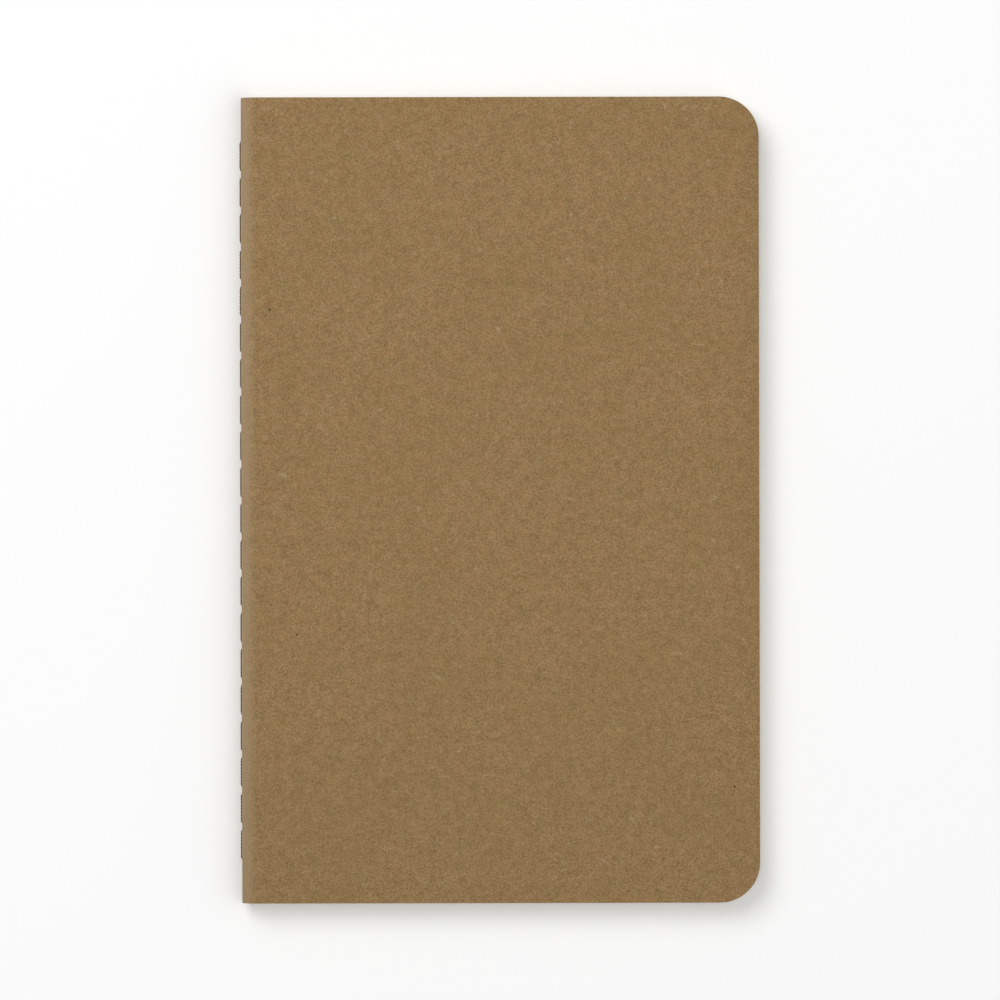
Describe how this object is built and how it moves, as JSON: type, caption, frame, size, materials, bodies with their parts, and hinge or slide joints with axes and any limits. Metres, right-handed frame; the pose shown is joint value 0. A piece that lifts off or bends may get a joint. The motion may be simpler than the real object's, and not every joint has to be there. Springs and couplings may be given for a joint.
{
  "type": "pocket notebook",
  "caption": "Pocket notebook with a soft kraft card cover, rounded fore-edge corners, folded ruled sheets and a machine-sewn spine, whose cover and leaves turn.",
  "frame": {"origin": "under the middle of the closed notebook, on the surface that its back cover lies on", "axes": "+X from the spine to the fore edge, +Y to the head along the spine, +Z out of the front cover"},
  "size_m": [0.0902, 0.14, 0.0051],
  "materials": {
    "kraft_card": "uncoated kraft card, matt",
    "ivory_paper": "uncoated writing paper, matt",
    "sewing_thread": "twisted brown thread"
  },
  "bodies": {
    "back_cover": {"back_cover": "kraft_card", "needle_thread": "sewing_thread"},
    "leaf_32": {"leaf_32": "ivory_paper"},
    "leaf_31": {"leaf_31": "ivory_paper"},
    "leaf_30": {"leaf_30": "ivory_paper"},
    "leaf_29": {"leaf_29": "ivory_paper"},
    "leaf_28": {"leaf_28": "ivory_paper"},
    "leaf_27": {"leaf_27": "ivory_paper"},
    "leaf_26": {"leaf_26": "ivory_paper"},
    "leaf_25": {"leaf_25": "ivory_paper"},
    "leaf_24": {"leaf_24": "ivory_paper"},
    "leaf_23": {"leaf_23": "ivory_paper"},
    "leaf_22": {"leaf_22": "ivory_paper"},
    "leaf_21": {"leaf_21": "ivory_paper"},
    "leaf_20": {"leaf_20": "ivory_paper"},
    "leaf_19": {"leaf_19": "ivory_paper"},
    "leaf_18": {"leaf_18": "ivory_paper"},
    "leaf_17": {"leaf_17": "ivory_paper", "bobbin_thread": "sewing_thread"},
    "leaf_16": {"leaf_16": "ivory_paper"},
    "leaf_15": {"leaf_15": "ivory_paper"},
    "leaf_14": {"leaf_14": "ivory_paper"},
    "leaf_13": {"leaf_13": "ivory_paper"},
    "leaf_12": {"leaf_12": "ivory_paper"},
    "leaf_11": {"leaf_11": "ivory_paper"},
    "leaf_10": {"leaf_10": "ivory_paper"},
    "leaf_09": {"leaf_09": "ivory_paper"},
    "leaf_08": {"leaf_08": "ivory_paper"},
    "leaf_07": {"leaf_07": "ivory_paper"},
    "leaf_06": {"leaf_06": "ivory_paper"},
    "leaf_05": {"leaf_05": "ivory_paper"},
    "leaf_04": {"leaf_04": "ivory_paper"},
    "leaf_03": {"leaf_03": "ivory_paper"},
    "leaf_02": {"leaf_02": "ivory_paper"},
    "leaf_01": {"leaf_01": "ivory_paper"},
    "front_cover": {"front_cover": "kraft_card"}
  },
  "joints": [
    {"name": "cover_fold", "type": "hinge", "parent": "leaf_01", "child": "front_cover", "pos_m": [-0.04487, 0, 0.00257], "axis": [0, -1, 0], "range_deg": [0, 180]},
    {"name": "centre_fold", "type": "hinge", "parent": "leaf_17", "child": "leaf_16", "pos_m": [-0.04487, 0, 0.00257], "axis": [0, -1, 0], "range_deg": [0, 180]},
    {"name": "leaf_01_turn", "type": "hinge", "parent": "leaf_02", "child": "leaf_01", "pos_m": [-0.04487, 0, 0.00257], "axis": [0, -1, 0], "range_deg": [0, 180]},
    {"name": "leaf_02_turn", "type": "hinge", "parent": "leaf_03", "child": "leaf_02", "pos_m": [-0.04487, 0, 0.00257], "axis": [0, -1, 0], "range_deg": [0, 180]},
    {"name": "leaf_03_turn", "type": "hinge", "parent": "leaf_04", "child": "leaf_03", "pos_m": [-0.04487, 0, 0.00257], "axis": [0, -1, 0], "range_deg": [0, 180]},
    {"name": "leaf_04_turn", "type": "hinge", "parent": "leaf_05", "child": "leaf_04", "pos_m": [-0.04487, 0, 0.00257], "axis": [0, -1, 0], "range_deg": [0, 180]},
    {"name": "leaf_05_turn", "type": "hinge", "parent": "leaf_06", "child": "leaf_05", "pos_m": [-0.04487, 0, 0.00257], "axis": [0, -1, 0], "range_deg": [0, 180]},
    {"name": "leaf_06_turn", "type": "hinge", "parent": "leaf_07", "child": "leaf_06", "pos_m": [-0.04487, 0, 0.00257], "axis": [0, -1, 0], "range_deg": [0, 180]},
    {"name": "leaf_07_turn", "type": "hinge", "parent": "leaf_08", "child": "leaf_07", "pos_m": [-0.04487, 0, 0.00257], "axis": [0, -1, 0], "range_deg": [0, 180]},
    {"name": "leaf_08_turn", "type": "hinge", "parent": "leaf_09", "child": "leaf_08", "pos_m": [-0.04487, 0, 0.00257], "axis": [0, -1, 0], "range_deg": [0, 180]},
    {"name": "leaf_09_turn", "type": "hinge", "parent": "leaf_10", "child": "leaf_09", "pos_m": [-0.04487, 0, 0.00257], "axis": [0, -1, 0], "range_deg": [0, 180]},
    {"name": "leaf_10_turn", "type": "hinge", "parent": "leaf_11", "child": "leaf_10", "pos_m": [-0.04487, 0, 0.00257], "axis": [0, -1, 0], "range_deg": [0, 180]},
    {"name": "leaf_11_turn", "type": "hinge", "parent": "leaf_12", "child": "leaf_11", "pos_m": [-0.04487, 0, 0.00257], "axis": [0, -1, 0], "range_deg": [0, 180]},
    {"name": "leaf_12_turn", "type": "hinge", "parent": "leaf_13", "child": "leaf_12", "pos_m": [-0.04487, 0, 0.00257], "axis": [0, -1, 0], "range_deg": [0, 180]},
    {"name": "leaf_13_turn", "type": "hinge", "parent": "leaf_14", "child": "leaf_13", "pos_m": [-0.04487, 0, 0.00257], "axis": [0, -1, 0], "range_deg": [0, 180]},
    {"name": "leaf_14_turn", "type": "hinge", "parent": "leaf_15", "child": "leaf_14", "pos_m": [-0.04487, 0, 0.00257], "axis": [0, -1, 0], "range_deg": [0, 180]},
    {"name": "leaf_15_turn", "type": "hinge", "parent": "leaf_16", "child": "leaf_15", "pos_m": [-0.04487, 0, 0.00257], "axis": [0, -1, 0], "range_deg": [0, 180]},
    {"name": "leaf_17_turn", "type": "hinge", "parent": "leaf_18", "child": "leaf_17", "pos_m": [-0.04487, 0, 0.00257], "axis": [0, -1, 0], "range_deg": [0, 180]},
    {"name": "leaf_18_turn", "type": "hinge", "parent": "leaf_19", "child": "leaf_18", "pos_m": [-0.04487, 0, 0.00257], "axis": [0, -1, 0], "range_deg": [0, 180]},
    {"name": "leaf_19_turn", "type": "hinge", "parent": "leaf_20", "child": "leaf_19", "pos_m": [-0.04487, 0, 0.00257], "axis": [0, -1, 0], "range_deg": [0, 180]},
    {"name": "leaf_20_turn", "type": "hinge", "parent": "leaf_21", "child": "leaf_20", "pos_m": [-0.04487, 0, 0.00257], "axis": [0, -1, 0], "range_deg": [0, 180]},
    {"name": "leaf_21_turn", "type": "hinge", "parent": "leaf_22", "child": "leaf_21", "pos_m": [-0.04487, 0, 0.00257], "axis": [0, -1, 0], "range_deg": [0, 180]},
    {"name": "leaf_22_turn", "type": "hinge", "parent": "leaf_23", "child": "leaf_22", "pos_m": [-0.04487, 0, 0.00257], "axis": [0, -1, 0], "range_deg": [0, 180]},
    {"name": "leaf_23_turn", "type": "hinge", "parent": "leaf_24", "child": "leaf_23", "pos_m": [-0.04487, 0, 0.00257], "axis": [0, -1, 0], "range_deg": [0, 180]},
    {"name": "leaf_24_turn", "type": "hinge", "parent": "leaf_25", "child": "leaf_24", "pos_m": [-0.04487, 0, 0.00257], "axis": [0, -1, 0], "range_deg": [0, 180]},
    {"name": "leaf_25_turn", "type": "hinge", "parent": "leaf_26", "child": "leaf_25", "pos_m": [-0.04487, 0, 0.00257], "axis": [0, -1, 0], "range_deg": [0, 180]},
    {"name": "leaf_26_turn", "type": "hinge", "parent": "leaf_27", "child": "leaf_26", "pos_m": [-0.04487, 0, 0.00257], "axis": [0, -1, 0], "range_deg": [0, 180]},
    {"name": "leaf_27_turn", "type": "hinge", "parent": "leaf_28", "child": "leaf_27", "pos_m": [-0.04487, 0, 0.00257], "axis": [0, -1, 0], "range_deg": [0, 180]},
    {"name": "leaf_28_turn", "type": "hinge", "parent": "leaf_29", "child": "leaf_28", "pos_m": [-0.04487, 0, 0.00257], "axis": [0, -1, 0], "range_deg": [0, 180]},
    {"name": "leaf_29_turn", "type": "hinge", "parent": "leaf_30", "child": "leaf_29", "pos_m": [-0.04487, 0, 0.00257], "axis": [0, -1, 0], "range_deg": [0, 180]},
    {"name": "leaf_30_turn", "type": "hinge", "parent": "leaf_31", "child": "leaf_30", "pos_m": [-0.04487, 0, 0.00257], "axis": [0, -1, 0], "range_deg": [0, 180]},
    {"name": "leaf_31_turn", "type": "hinge", "parent": "leaf_32", "child": "leaf_31", "pos_m": [-0.04487, 0, 0.00257], "axis": [0, -1, 0], "range_deg": [0, 180]},
    {"name": "leaf_32_turn", "type": "hinge", "parent": "back_cover", "child": "leaf_32", "pos_m": [-0.04487, 0, 0.00257], "axis": [0, -1, 0], "range_deg": [0, 180]}
  ]
}
